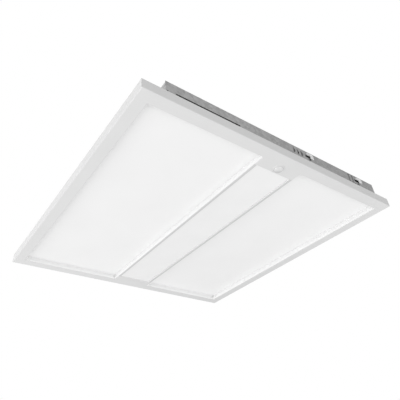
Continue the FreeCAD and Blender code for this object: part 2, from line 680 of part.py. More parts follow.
def end_plate():
    """The plate at the -Y end: a pierced web with a flange under the roof and one over the lens."""
    half = PLATE_HALF
    web = block(-half, half, -INSIDE_LIP, -PLATE_INSIDE, FLANGE_UNDER, TROFFER_DEPTH)
    flange_half = PAN_HALF - PAN_SHEET - SEAT_GAP
    top = block(-flange_half, flange_half, -PLATE_INSIDE - 0.1, -PLATE_INSIDE + PLATE_FLANGE,
                ROOF_UNDER - PLATE_SHEET, ROOF_UNDER)
    low = block(-flange_half, flange_half, -PLATE_INSIDE - 0.1, -TRAY_END - SEAT_GAP,
                FLANGE_UNDER, FLANGE_UNDER + PLATE_SHEET)
    tabs = [block(x - TAB_WIDTH / 2, x + TAB_WIDTH / 2, -INSIDE_LIP, -PLATE_INSIDE,
                  TAB_FOOT, FLANGE_UNDER) for x in evenly(-half, half, TAB_COUNT)]
    hoods = [louvre_hood(x) for x in louvre_places()]
    lugs = [lug for x in CLIP_PLACES for lug in clip_lugs(x)]
    grooves = [plate_groove(OUTER_CLIP - room) for room in GROOVE_ROOMS]
    plate = joined([web, top, low] + tabs + hoods + [groove[0] for groove in grooves])
    cuts = [groove[1] for groove in grooves]
    cuts += [louvre_slot(x) for x in louvre_places()] + [clip_window(x) for x in CLIP_PLACES]
    for x0, x1 in ((-half - 1, -flange_half), (flange_half, half + 1)):
        cuts.append(block(x0, x1, -INSIDE_LIP - 1, -PLATE_INSIDE + 1, FLANGE_UNDER - 1,
                          PAN_FLANGE_DEPTH + SEAT_GAP))
    slot_foot = LIP_HEIGHT + SLOT_RISE
    for first, last, height in plate_slots():
        cuts.append(block(first, last, -INSIDE_LIP - 1, -PLATE_INSIDE + GROOVE_DEPTH + SEAT_GAP,
                          slot_foot, slot_foot + height))
    cuts.append(peg(-half + CORNER_HOLE_INSET, -INSIDE_LIP - 1, slot_foot + CORNER_HOLE / 2,
                    CORNER_HOLE, PLATE_SHEET + 2, Y_AXIS))
    cuts += rivet_holes()
    return joined([less(plate, cuts)] + lugs)


def rivets():
    """Domed rivets that hold the plates' flanges under the roof."""
    foot = ROOF_UNDER - PLATE_SHEET
    top = TROFFER_DEPTH + RIVET_HEAD_HEIGHT
    crown = RIVET_HEAD_HEIGHT * RIVET_CROWN
    profile = [(RIVET_RADIUS, foot), (RIVET_RADIUS, TROFFER_DEPTH), (RIVET_HEAD, TROFFER_DEPTH),
               (RIVET_HEAD, top - crown), (RIVET_HEAD - crown, top)]
    return Part.makeCompound([spun(x, y, profile, SIDES) for x in rivet_places()
                              for y in (-rivet_y(), rivet_y())])


# ------------------------------------------------------------------ grid clips
def grid_clip(x):
    """Angle strap with a rounded corner: a bar over the window, a leaf and a knuckle on the pin."""
    axis_y = -CLIP_AXIS_Y
    back = -INSIDE_LIP - SWING_GAP
    bend = CLIP_BEND
    left, right, top = x - CLIP_LENGTH, x + CLIP_LEAF, CLIP_TOP

    def outline(inset):
        """The strap's outer or inner line, from the bar's end to the leaf's foot."""
        radius = bend - inset
        centre = FreeCAD.Vector(right - bend, back, top - bend)
        start = FreeCAD.Vector(left, back, top - inset)
        high = FreeCAD.Vector(right - bend, back, top - inset)
        middle = centre + FreeCAD.Vector(radius * math.sqrt(0.5), 0, radius * math.sqrt(0.5))
        low = FreeCAD.Vector(right - inset, back, top - bend)
        foot = FreeCAD.Vector(right - inset, back, CLIP_FOOT)
        edges = [Part.LineSegment(start, high).toShape(), Part.Arc(high, middle, low).toShape(),
                 Part.LineSegment(low, foot).toShape()]
        return start, foot, edges

    outer_start, outer_foot, outer_edges = outline(0)
    inner_start, inner_foot, inner_edges = outline(CLIP_SHEET)
    ends = [Part.LineSegment(outer_start, inner_start).toShape(),
            Part.LineSegment(outer_foot, inner_foot).toShape()]
    wire = Part.Wire(Part.__sortEdges__(outer_edges + inner_edges + ends))
    strap = Part.Face(wire).extrude(FreeCAD.Vector(0, axis_y - CLIP_REACH - back, 0))
    half = CLIP_SHEET / 2
    fin = block(x, right - half, axis_y - half, axis_y + half, KNUCKLE_FOOT, top - bend)
    knuckle = peg(x, axis_y, KNUCKLE_FOOT, KNUCKLE_RADIUS, top - KNUCKLE_FOOT)
    bore = rod(x, axis_y, KNUCKLE_FOOT - 1, PIN_RADIUS + PIN_GAP, top - KNUCKLE_FOOT + 2)
    return less(joined([strap, fin, knuckle]), [bore])


def clip_pins():
    low, high = lug_feet()
    length = high + LUG_HEIGHT - low
    near = [peg(x, -CLIP_AXIS_Y, low, PIN_RADIUS, length) for x in CLIP_PLACES]
    return Part.makeCompound(near + [turned(pin) for pin in near])


# ------------------------------------------------------------------ light boxes
def tray_area():
    return (DIVIDER_OUT + SEAT_GAP, TRAY_OUT, -TRAY_END, TRAY_END)


def reflector_tray():
    area = tray_area()
    body = slab(area, PAN_FLANGE_DEPTH + PAN_SHEET, TRAY_TOP)
    hollow = slab(grown(area, -TRAY_SHEET), PAN_FLANGE_DEPTH - 1, TRAY_TOP - TRAY_SHEET)
    return less(body, [hollow])


def board_places():
    area = tray_area()
    return evenly(area[0], area[1], BOARDS_PER_SIDE)


def led_boards():
    half = BOARD_WIDTH / 2
    top = BOARD_FOOT + BOARD_THICKNESS
    return Part.makeCompound([block(x - half, x + half, -BOARD_END, BOARD_END, BOARD_FOOT, top)
                              for x in board_places()])


def led_packages():
    half = LED_SIZE / 2
    shapes = []
    for x in board_places():
        for y in evenly(-BOARD_END, BOARD_END, LEDS_PER_BOARD):
            shapes.append(block(x - half, x + half, y - half, y + half,
                                BOARD_FOOT - LED_HEIGHT, BOARD_FOOT))
    return Part.makeCompound(shapes)


def spine_divider():
    """Upright wall between a light box and the driver space, hung from the roof by its flange."""
    foot = COVER_LIP + SLIDE_GAP
    wall = block(DIVIDER_IN, DIVIDER_OUT, -TRAY_END, TRAY_END, foot, ROOF_UNDER)
    flange = block(DIVIDER_IN - DIVIDER_FLANGE, DIVIDER_OUT, -TRAY_END, TRAY_END,
                   ROOF_UNDER - DIVIDER_SHEET, ROOF_UNDER)
    notch = block(0, DIVIDER_IN - 1, BOX_CENTRE - BOX_LENGTH / 2 - 1,
                  BOX_CENTRE + BOX_LENGTH / 2 + 1, FLANGE_UNDER, ROOF_UNDER + 1)
    return less(joined([wall, flange]), [notch])


# ------------------------------------------------------------------ driver
def driver_screw_places():
    reach = DRIVER_LENGTH / 2 + DRIVER_EAR / 2
    return [DRIVER_CENTRE - reach, DRIVER_CENTRE + reach]


def driver_plate():
    half = DRIVER_LENGTH / 2 + DRIVER_EAR
    plate = block(-DRIVER_WIDTH / 2, DRIVER_WIDTH / 2, DRIVER_CENTRE - half, DRIVER_CENTRE + half,
                  ROOF_UNDER - DRIVER_PLATE, ROOF_UNDER)
    corners = edges_where(plate, lambda e: abs(e.Vertexes[0].Point.z - e.Vertexes[1].Point.z) > 0.5)
    plate = plate.makeChamfer(EAR_CORNER, corners)
    return less(plate, [peg(0, y, ROOF_UNDER - 2, SCREW_RADIUS + SEAT_GAP, THROUGH)
                        for y in driver_screw_places()])


def driver_case():
    top = ROOF_UNDER - DRIVER_PLATE
    case = block(-DRIVER_WIDTH / 2, DRIVER_WIDTH / 2, DRIVER_CENTRE - DRIVER_LENGTH / 2,
                 DRIVER_CENTRE + DRIVER_LENGTH / 2, top - DRIVER_HEIGHT, top)
    long_edges = edges_where(case, lambda e: lies_on(e, top - DRIVER_HEIGHT)
                             and e.Vertexes[0].Point.x == e.Vertexes[1].Point.x)
    case = case.makeFillet(CASE_CORNER, long_edges)
    inside = (DRIVER_WIDTH / 2 - DRIVER_SHEET, DRIVER_LENGTH / 2 - DRIVER_SHEET)
    hollow = block(-inside[0], inside[0], DRIVER_CENTRE - inside[1], DRIVER_CENTRE + inside[1],
                   top - DRIVER_HEIGHT + DRIVER_SHEET, top + 1)
    width, length, height = TERMINAL_SIZE
    pockets = []
    for side in (-1, 1):
        end = DRIVER_CENTRE + side * DRIVER_LENGTH / 2
        pockets.append(block(-width / 2, width / 2, end - length, end + length,
                             top - DRIVER_HEIGHT - 1, top - DRIVER_HEIGHT + height))
    return less(case, [hollow] + pockets)


def driver_terminals():
    width, length, height = TERMINAL_SIZE
    foot = ROOF_UNDER - DRIVER_PLATE - DRIVER_HEIGHT
    shapes = []
    for side in (-1, 1):
        end = DRIVER_CENTRE + side * DRIVER_LENGTH / 2
        inner = end - side * length
        y0, y1 = min(end, inner) + SEAT_GAP, max(end, inner)
        body = block(-width / 2 + SEAT_GAP, width / 2 - SEAT_GAP, y0, y1, foot + SEAT_GAP,
                     foot + height - SEAT_GAP)
        entries = [peg(x, end - side * TERMINAL_DEPTH, foot + height / 2, TERMINAL_ENTRY,
                       TERMINAL_DEPTH + 1, Y_AXIS * side)
                   for x in evenly(-width / 2, width / 2, TERMINAL_WAYS)]
        shapes.append(less(body, entries))
    return Part.makeCompound(shapes)


def driver_circuit():
    """Circuit board between the case's side walls, with its transformer, choke and capacitors."""
    half_x = DRIVER_WIDTH / 2 - DRIVER_SHEET - SEAT_GAP
    half_y = DRIVER_LENGTH / 2 - TERMINAL_SIZE[1] - SEAT_GAP
    foot = ROOF_UNDER - DRIVER_PLATE - DRIVER_HEIGHT + DRIVER_SHEET + CIRCUIT_RISE
    top = foot + CIRCUIT_THICKNESS
    board = block(-half_x, half_x, DRIVER_CENTRE - half_y, DRIVER_CENTRE + half_y, foot, top)
    width, length, height = TRANSFORMER_SIZE
    core = block(-width / 2, width / 2, DRIVER_CENTRE - length / 2, DRIVER_CENTRE + length / 2,
                 top, top + height)
    radius, bore, choke_height = CHOKE_SIZE
    choke = peg(0, DRIVER_CENTRE + PART_PITCH, top, radius, choke_height)
    choke = less(choke, [peg(0, DRIVER_CENTRE + PART_PITCH, top - 1, bore, choke_height + 2)])
    cans = [peg(side * half_x / 2, DRIVER_CENTRE - PART_PITCH, top, *CAPACITOR_SIZE)
            for side in (-1, 1)]
    return joined([board, core, choke] + cans)


def driver_screws():
    head = ROOF_UNDER - DRIVER_PLATE
    return Part.makeCompound([screw(0, y, head, DRIVER_PLATE + PAN_SHEET + 2.0, up=False)
                              for y in driver_screw_places()])


# ------------------------------------------------------------------ wiring box
def box_area():
    return (-BOX_WIDTH / 2, BOX_WIDTH / 2, BOX_CENTRE - BOX_LENGTH / 2, BOX_CENTRE + BOX_LENGTH / 2)


def earth_place():
    area = box_area()
    return (area[0] + EARTH_PLACE[0], area[2] + EARTH_PLACE[1])


def wiring_box():
    body = slab(box_area(), BOX_FLOOR, ROOF_UNDER)
    hollow = slab(grown(box_area(), -BOX_SHEET), BOX_FLOOR + BOX_SHEET, ROOF_UNDER + 1)
    lead_x = box_area()[1] - LEAD_HOLE_PLACE[0]
    lead_hole = peg(lead_x, box_area()[2] - 1, BOX_FLOOR + LEAD_HOLE_PLACE[1], LEAD_HOLE, THROUGH,
                    Y_AXIS)
    earth_hole = peg(earth_place()[0], earth_place()[1], BOX_FLOOR - 1, SCREW_RADIUS, THROUGH)
    return less(body, [hollow, lead_hole, earth_hole])


def terminal_block():
    """Three-way push-in block on the floor of the wiring box."""
    width, length, height = SUPPLY_SIZE
    foot = BOX_FLOOR + BOX_SHEET
    top = foot + height
    outer = box_area()[3] - SUPPLY_ROOM
    inner = outer - length
    body = block(-width / 2, width / 2, inner, outer, foot, top)
    body = body.makeChamfer(SUPPLY_CHAMFER, edges_where(body, lambda e: lies_on(e, top)))
    cuts = []
    across, along, depth = RELEASE_SIZE
    for x in evenly(-width / 2, width / 2, SUPPLY_WAYS):
        cuts.append(peg(x, inner - 1, foot + height / 2, SUPPLY_ENTRY, length / 2, Y_AXIS))
        cuts.append(block(x - across / 2, x + across / 2, outer - 2 * along, outer - along,
                          top - depth, top + 1))
    return less(body, cuts)


def earth_screw():
    foot = BOX_FLOOR + BOX_SHEET
    return screw(earth_place()[0], earth_place()[1], foot, BOX_SHEET + 2.0)


def entry_places():
    return [BOX_CENTRE - ENTRY_PITCH / 2, BOX_CENTRE + ENTRY_PITCH / 2]


def access_lid():
    """Lid over the wiring box with two conduit entries and two knuckles on its hinge edge."""
    half_x = LID_WIDTH / 2
    y0 = BOX_CENTRE - LID_LENGTH / 2
    y1 = BOX_CENTRE + LID_LENGTH / 2
    plate = block(-half_x, half_x, y0, y1, LID_FOOT, LID_TOP)
    free_corners = edges_where(plate, lambda e: all(abs(v.Point.y - y0) < 1e-6 for v in e.Vertexes)
                               and abs(e.Vertexes[0].Point.z - e.Vertexes[1].Point.z) > 0.5)
    plate = plate.makeFillet(LID_CORNER, free_corners)
    gap = half_x - LID_LUG * 1.5 - SWING_GAP
    length = LID_KNUCKLE_LENGTH
    knuckles = []
    for x0 in (-gap, gap - length):
        curl = peg(x0, LID_HINGE_Y, LID_HINGE_Z, LID_KNUCKLE, length, X_AXIS)
        tongue = block(x0, x0 + length, y1 - 1, LID_HINGE_Y, LID_FOOT + SWING_GAP, LID_TOP + SWING_GAP)
        knuckles += [curl, tongue]
    notches = []
    for side in (-1, 1):
        middle = side * (half_x - LID_LUG)
        notches.append(block(middle - LID_LUG / 2 - SWING_GAP, middle + LID_LUG / 2 + SWING_GAP,
                             y1 - 3 * LID_KNUCKLE, y1 + 1, LID_FOOT - 1, LID_TOP + 1))
    bore = rod(-half_x, LID_HINGE_Y, LID_HINGE_Z, LID_PIN + PIN_GAP, LID_WIDTH, X_AXIS)
    entries = [spun(0, y, [(ENTRY_RADIUS, LID_FOOT - 1), (ENTRY_RADIUS, LID_TOP + 1)])
               for y in entry_places()]
    screw_hole = peg(0, lid_screw_y(), LID_FOOT - 1, SCREW_RADIUS + SEAT_GAP, LID_SHEET + 2)
    return less(joined([plate] + knuckles), notches + entries + [bore, screw_hole])


def lid_pin():
    half = LID_WIDTH / 2 + LID_PIN_END
    return peg(-half, LID_HINGE_Y, LID_HINGE_Z, LID_PIN, 2 * half, X_AXIS)


def lid_screw():
    return screw(0, lid_screw_y(), LID_TOP, LID_SHEET + PAN_SHEET + 1.5)


def knockout_slug():
    """Disc still closing the second conduit entry."""
    y = entry_places()[1]
    radius = ENTRY_RADIUS - SEAT_GAP
    disc = spun(0, y, [(radius, LID_FOOT), (radius, LID_TOP)])
    dimple = peg(0, y, LID_FOOT + LID_SHEET / 2, SLUG_DIMPLE, LID_SHEET)
    return less(disc, [dimple])


def inlet_bushing():
    """Snap-in ring that lines the open conduit entry."""
    y = entry_places()[0]
    foot = LID_FOOT - BUSHING_NECK
    top = LID_TOP + BUSHING_LIP_HEIGHT
    neck = ENTRY_RADIUS - SEAT_GAP
    profile = [(neck, foot), (neck, LID_TOP), (BUSHING_LIP, LID_TOP),
               (BUSHING_LIP - BUSHING_LIP_HEIGHT, top)]
    return less(spun(0, y, profile), [rod(0, y, foot - 1, BUSHING_BORE, top - foot + 2)])


# ------------------------------------------------------------------ the whole part
def pair(name, shape):
    return {name + "_right": shape, name + "_left": mirrored(shape)}


def build():
    nodes = {
        "face_frame": face_frame(),
        "corner_brackets": corner_brackets(),
        "frame_screws": frame_screws(),
        "centre_cover": centre_cover(),
        "cover_springs": cover_springs(),
        "sensor_bezel": sensor_bezel(),
        "sensor_lens": sensor_lens(),
        "sensor_housing": sensor_housing(),
        "back_pan": back_pan(),
        "end_plate_near": end_plate(),
        "end_plate_far": turned(end_plate()),
        "plate_rivets": rivets(),
        "clip_pins": clip_pins(),
        "driver_plate": driver_plate(),
        "driver_case": driver_case(),
        "driver_terminals": driver_terminals(),
        "driver_circuit": driver_circuit(),
        "driver_screws": driver_screws(),
        "wiring_box": wiring_box(),
        "terminal_block": terminal_block(),
        "earth_screw": earth_screw(),
        "access_lid": access_lid(),
        "lid_pin": lid_pin(),
        "lid_screw": lid_screw(),
        "knockout_slug": knockout_slug(),
        "inlet_bushing": inlet_bushing(),
    }
    for name, shape in (("lens_bezel", lens_bezel()), ("lens", lens()),
                        ("lens_gasket", lens_gasket()), ("reflector_tray", reflector_tray()),
                        ("led_boards", led_boards()), ("led_packages", led_packages()),
                        ("spine_divider", spine_divider())):
        nodes.update(pair(name, shape))
    for label, x in zip(("inner", "outer"), CLIP_PLACES):
        clip = grid_clip(x)
        nodes["grid_clip_near_" + label] = clip
        nodes["grid_clip_far_" + label] = turned(clip)
    return nodes


os.makedirs("parts", exist_ok=True)
for node_name, node_shape in build().items():
    solids = node_shape.Solids
    print(node_name, len(solids), "solid(s)", round(sum(s.Volume for s in solids)), "mm3")
    node_shape.exportStep("parts/" + node_name + ".step")
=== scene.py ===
# %% [markdown]
# # A recessed troffer light, dressed for its picture
# This notebook takes the finished construction of a square ceiling light and gives it its looks:
# powder coat, opal lenses, galvanised sheet, screws and a studio around it. Every piece of metal
# and plastic already has its real size and place, in metres, so nothing here is moved or resized.
# The face lies in the plane z = 0 and looks down; the back of the light points up, along +Z.

# %% Load the construction
import json
import math

import bmesh
import bpy
from mathutils import Matrix, Vector


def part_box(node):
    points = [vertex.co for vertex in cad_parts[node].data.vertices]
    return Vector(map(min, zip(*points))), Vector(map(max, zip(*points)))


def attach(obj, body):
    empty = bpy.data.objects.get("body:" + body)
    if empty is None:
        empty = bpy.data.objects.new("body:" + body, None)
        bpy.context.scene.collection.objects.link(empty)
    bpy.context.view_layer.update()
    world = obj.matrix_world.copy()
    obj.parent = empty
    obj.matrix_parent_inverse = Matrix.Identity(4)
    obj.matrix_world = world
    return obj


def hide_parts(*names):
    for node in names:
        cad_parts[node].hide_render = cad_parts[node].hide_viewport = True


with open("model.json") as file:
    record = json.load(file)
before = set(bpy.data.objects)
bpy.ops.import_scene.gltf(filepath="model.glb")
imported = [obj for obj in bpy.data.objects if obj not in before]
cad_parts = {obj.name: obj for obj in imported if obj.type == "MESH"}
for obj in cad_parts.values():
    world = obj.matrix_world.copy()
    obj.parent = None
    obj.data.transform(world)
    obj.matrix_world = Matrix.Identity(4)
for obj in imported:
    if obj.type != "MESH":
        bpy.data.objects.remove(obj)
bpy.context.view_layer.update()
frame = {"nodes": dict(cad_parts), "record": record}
nodes = frame["nodes"]
MM = 0.001                              # a millimetre in metres
print("pieces in the frame:", len(nodes))

# %% [markdown]
# ## Where the camera looks
# The light was photographed from below, as it is seen from under a ceiling. The camera is in
# front of the near left corner and looks up at 35 degrees. It could be aimed with a Track To
# constraint, but a photograph also has a little roll, so the three axes of the camera are worked
# out here from two angles and that roll.

# %% Camera axes
LOOK_AZIMUTH = math.radians(52.56)      # from +X towards +Y
LOOK_UP = math.radians(34.98)
ROLL = math.radians(-4.60)


def camera_axes():
    """Right, up and forward of the camera, with its roll."""
    level = math.cos(LOOK_UP)
    forward = Vector((level * math.cos(LOOK_AZIMUTH), level * math.sin(LOOK_AZIMUTH),
                      math.sin(LOOK_UP)))
    flat_right = forward.cross(Vector((0, 0, 1))).normalized()
    flat_up = flat_right.cross(forward)
    right = math.cos(ROLL) * flat_right + math.sin(ROLL) * flat_up
    up = math.cos(ROLL) * flat_up - math.sin(ROLL) * flat_right
    return right, up, forward


print("camera looks along", [round(value, 4) for value in camera_axes()[2]])

# %% [markdown]
# ## The camera
# It stands half a metre under the face. Its axes go straight into its matrix; a camera looks
# along its own -Z, so forward is turned round. The small shift slides the picture sideways to
# where the photograph has the light. Turning the camera would do that too, but it would also
# change the perspective.

# %% Camera
CAMERA_PLACE = Vector((-0.4944, -0.6315, -0.4628))
FILM_WIDTH = 36                         # millimetres, as the focal length
FOCAL_LENGTH = 37.26
SHIFT_RIGHT = 0.0375                    # a share of the picture's width
FAR_CLIP = 50                           # metres


def add_camera():
    """Puts the camera in place and makes it the one of the scene."""
    right, up, forward = camera_axes()
    lens_data = bpy.data.cameras.new("camera")
    lens_data.sensor_width = FILM_WIDTH
    lens_data.lens = FOCAL_LENGTH
    lens_data.shift_x = SHIFT_RIGHT
    lens_data.clip_end = FAR_CLIP
    camera = bpy.data.objects.new("camera", lens_data)
    turn = Matrix((right, up, -forward)).transposed().to_4x4()
    camera.matrix_world = Matrix.Translation(CAMERA_PLACE) @ turn
    bpy.context.scene.collection.objects.link(camera)
    bpy.context.scene.camera = camera


add_camera()
print("camera at", tuple(round(value, 4) for value in CAMERA_PLACE), "with", FOCAL_LENGTH, "mm")

# %% [markdown]
# ## A flag
# The face gets a little darker towards its far right corner. A studio does that with a black flag
# behind the set. A real black plane could get into a picture from another side, so here the flag
# is a soft dark spot in the light of the room: how far a direction is from the flag's own comes
# from a dot product, and Map Range turns it into shade.

# %% Flag
FLAG_DEPTH = 0.775           # strength that the flag takes away in its middle
FLAG_TOWARDS = (0.672, 0.672, -0.309)
FLAG_EDGE = math.cos(math.radians(26))
FLAG_CORE = math.cos(math.radians(5))


def flag_shade(tree, direction):
    """FLAG_DEPTH towards the flag, fading to 0 at its soft edge."""
    near = tree.nodes.new("ShaderNodeVectorMath")
    near.operation = "DOT_PRODUCT"
    near.inputs[1].default_value = FLAG_TOWARDS
    tree.links.new(direction, near.inputs[0])
    shade = tree.nodes.new("ShaderNodeMapRange")
    shade.interpolation_type = "SMOOTHSTEP"
    shade.inputs["From Min"].default_value = FLAG_EDGE
    shade.inputs["From Max"].default_value = FLAG_CORE
    shade.inputs["To Max"].default_value = FLAG_DEPTH
    tree.links.new(near.outputs["Value"], shade.inputs["Value"])
    return shade.outputs["Result"]


print("flag takes", FLAG_DEPTH, "towards", FLAG_TOWARDS)

# %% [markdown]
# ## The room's strength
# A white product needs a white room, but if the same white came from every side the light would
# have no shape. So the room as a lamp is dimmer on the side above the face, and its strength
# follows the height of each direction. An image of a studio could do this as well, but it would
# be one more file and harder to tune.

# %% Strength of the room
ROOM_BELOW = 0.833           # strength of the room's light from the floor's side
ROOM_ABOVE = 0.498           # and from above the face, where the backdrop has 1
ROOM_BLEND = 0.3             # the two meet between this height of a direction and its opposite


def room_strength(tree):
    """From ROOM_BELOW to ROOM_ABOVE with the height of the direction, less the flag's shade."""
    direction = tree.nodes.new("ShaderNodeTexCoord").outputs["Generated"]
    split = tree.nodes.new("ShaderNodeSeparateXYZ")
    tree.links.new(direction, split.inputs[0])
    height = tree.nodes.new("ShaderNodeMapRange")
    height.interpolation_type = "SMOOTHSTEP"
    height.inputs["From Min"].default_value = -ROOM_BLEND
    height.inputs["From Max"].default_value = ROOM_BLEND
    height.inputs["To Min"].default_value = ROOM_BELOW
    height.inputs["To Max"].default_value = ROOM_ABOVE
    tree.links.new(split.outputs["Z"], height.inputs["Value"])
    left_over = tree.nodes.new("ShaderNodeMath")
    left_over.operation = "SUBTRACT"
    tree.links.new(height.outputs["Result"], left_over.inputs[0])
    tree.links.new(flag_shade(tree, direction), left_over.inputs[1])
    return left_over.outputs[0]


print("room:", ROOM_BELOW, "from below,", ROOM_ABOVE, "from above")

# %% [markdown]
# ## The world
# The camera has to see a pure white backdrop, whatever strength the room has as a lamp. Light
# Path tells the two apart: a ray from the camera gets the white, and every other ray gets the
# room. A white card behind the object would be seen too, but it would also light it.

# %% World
WHITE = (1, 1, 1, 1)


def add_room():
    """A world that is white to the camera and has the room's strengths as a lamp."""
    world = bpy.data.worlds.new("white room")
    world.use_nodes = True
    tree = world.node_tree
    tree.nodes.clear()
    seen = tree.nodes.new("ShaderNodeBackground")
    lamp = tree.nodes.new("ShaderNodeBackground")
    seen.inputs["Color"].default_value = WHITE
    lamp.inputs["Color"].default_value = WHITE
    tree.links.new(room_strength(tree), lamp.inputs["Strength"])
    path = tree.nodes.new("ShaderNodeLightPath")
    mix = tree.nodes.new("ShaderNodeMixShader")
    output = tree.nodes.new("ShaderNodeOutputWorld")
    tree.links.new(path.outputs["Is Camera Ray"], mix.inputs["Fac"])
    tree.links.new(lamp.outputs[0], mix.inputs[1])
    tree.links.new(seen.outputs[0], mix.inputs[2])
    tree.links.new(mix.outputs[0], output.inputs["Surface"])
    bpy.context.scene.world = world


add_room()
bpy.context.scene.view_settings.view_transform = "Standard"
print("world:", bpy.context.scene.world.name)

# %% [markdown]
# ## The soft boxes
# The room alone leaves the metal dull and the lips alike. Square area lamps give each direction
# of a face its own grey: the left and front ones the two white lips, the side one the inner walls
# of the openings, the rim one the bright edge of the pan, the plate one the slow change of grey
# along the end plate, and the back one the roof, which the photograph doesn't show. Sun or point
# lamps would leave hard shadows. All of them turn towards the middle of the light, and the camera
# doesn't see them.

# %% Soft boxes
SOFT_BOXES = [               # name, place and width in metres, power in watts
    ("left soft box", (-2.6, 0.6, -1.6), 1.8, 17.4),
    ("front soft box", (0.3, -2.8, -2.7), 2.2, 19.2),
    ("side soft box", (-8.0, 1.2, 0.2), 5.0, 120.0),
    ("back soft box", (0.9, 2.6, 4.2), 3.0, 38.0),
    ("rim soft box", (-1.7, 3.6, 3.1), 4.0, 36.0),
    ("plate soft box", (1.3, -1.6, 2.7), 1.6, 1.9),
]


def add_soft_box(name, place, size, power):
    """A square lamp at a place, turned towards the light."""
    data = bpy.data.lights.new(name, "AREA")
    data.size = size
    data.energy = power
    lamp = bpy.data.objects.new(name, data)
    lamp.location = place
    lamp.rotation_euler = (-Vector(place)).to_track_quat("-Z", "Y").to_euler()
    lamp.visible_camera = False
    bpy.context.scene.collection.objects.link(lamp)


for box in SOFT_BOXES:
    add_soft_box(*box)
print("soft boxes:", [box[0] for box in SOFT_BOXES])

# %% [markdown]
# ## The floor
# A ceiling light has no floor near it, so a plain pale one lies far below and reaches out to the
# horizon.

# %% Floor
FLOOR_HEIGHT = -4.5
FLOOR_HALF = 60.0


def add_floor():
    """A wide square that is seen but neither lights nor shades."""
    half = FLOOR_HALF
    mesh = bpy.data.meshes.new("floor")
    corners = [(-half, -half, 0), (half, -half, 0), (half, half, 0), (-half, half, 0)]
    mesh.from_pydata(corners, [], [(0, 1, 2, 3)])
    floor = bpy.data.objects.new("floor", mesh)
    floor.location = (0, 0, FLOOR_HEIGHT)
    floor.visible_diffuse = False
    floor.visible_glossy = False
    floor.visible_shadow = False
    bpy.context.scene.collection.objects.link(floor)
    return floor


floor = add_floor()
print("floor at", FLOOR_HEIGHT, "m,", 2 * FLOOR_HALF, "m wide")

# %% [markdown]
# ## A small kit for finishes
# Every finish below is a few nodes: some noise in the object's own space, sent to colour,
# roughness and bump. Writing those nodes out each time would hide what differs, so a few helpers
# do the wiring. The first starts a finish, and can add a Bevel node, which rounds the look of
# sharp sheet edges without new faces, so that they catch light. The second makes noise at a size
# in millimetres.

# %% Helpers that start a finish
EDGE_SAMPLES = 4


def start_finish(name, edge_mm=0.0):
    """A new material with edges that look rounded: (material, tree, shader, place)."""
    material = bpy.data.materials.new(name)
    material.use_nodes = True
    tree = material.node_tree
    shader = tree.nodes["Principled BSDF"]
    place = tree.nodes.new("ShaderNodeTexCoord").outputs["Object"]
    if edge_mm:
        edge = tree.nodes.new("ShaderNodeBevel")
        edge.samples = EDGE_SAMPLES
        edge.inputs["Radius"].default_value = edge_mm * MM
        tree.links.new(edge.outputs[0], shader.inputs["Normal"])
    return material, tree, shader, place


def noise(tree, place, size_mm, detail=2.0):
    """Soft noise whose lumps are about size_mm across."""
    node = tree.nodes.new("ShaderNodeTexNoise")
    node.inputs["Scale"].default_value = 1 / (size_mm * MM)
    node.inputs["Detail"].default_value = detail
    tree.links.new(place, node.inputs["Vector"])
    return node.outputs["Fac"]


print("rounded edges take", EDGE_SAMPLES, "samples")

# %% [markdown]
# ## From noise to colour
# Noise mostly lies between 0.3 and 0.7, so one helper stretches that part to the range that a
# roughness or a mix needs. A Color Ramp does the same for colours, but its stops are harder to
# set from code than the two ends of a Map Range. The other helpers mix two colours and make a
# grey.

# %% Helpers for colour
NOISE_LOW, NOISE_HIGH = 0.3, 0.7


def spread(tree, value, low, high):
    """Sends the usual values of a noise to the range from low to high."""
    node = tree.nodes.new("ShaderNodeMapRange")
    node.inputs["From Min"].default_value = NOISE_LOW
    node.inputs["From Max"].default_value = NOISE_HIGH
    node.inputs["To Min"].default_value = low
    node.inputs["To Max"].default_value = high
    tree.links.new(value, node.inputs["Value"])
    return node.outputs["Result"]


def tint(tree, value, dark, light):
    """Mixes two colours by a value of 0 to 1."""
    node = tree.nodes.new("ShaderNodeMix")
    node.data_type = "RGBA"
    node.inputs["A"].default_value = (*dark, 1)
    node.inputs["B"].default_value = (*light, 1)
    tree.links.new(value, node.inputs["Factor"])
    return node.outputs["Result"]


def grey(value):
    """A colour with no hue."""
    return (value, value, value)


print("noise is read from", NOISE_LOW, "to", NOISE_HIGH)

# %% [markdown]
# ## Relief
# Relief could be real displacement, but at hundredths of a millimetre a bump looks the same and
# adds no faces. A finish with rounded edges already sends a normal to the shader, so the bump
# takes that one as its own input and both are kept.

# %% Helper for relief
def relief(tree, shader, value, height_mm):
    """Bump of a given height, on top of any normal that the shader already has."""
    node = tree.nodes.new("ShaderNodeBump")
    node.inputs["Distance"].default_value = height_mm * MM
    tree.links.new(value, node.inputs["Height"])
    if shader.inputs["Normal"].is_linked:
        tree.links.new(shader.inputs["Normal"].links[0].from_socket, node.inputs["Normal"])
    tree.links.new(node.outputs[0], shader.inputs["Normal"])


print("relief is given in units of", MM, "m")

# %% [markdown]
# ## Zones of a finish
# The face is one pressed sheet of one white, but light and shade are painted into its colour: the
# inner walls of its openings get a lighter white, painted bounce light from the lenses, and the
# narrow strips beside the cover a greyer one, painted shade. Splitting the sheet for that would
# leave seams, so a finish can have zones. A zone is a box about the middle of the light, in its
# own space, so both halves of the light share it.

# %% Zones
# Painted bounce light: the walls of the openings get a lighter white than the face.
PAINTED_BOUNCE_WALLS = (290, 290, 0.5, 40)          # half length in x and y, lowest and highest z, in millimetres
# Painted shade: the strips beside the cover get a greyer white than the face.
PAINTED_SHADE_BESIDE_COVER = (48, 257.5, -1, 0.3)
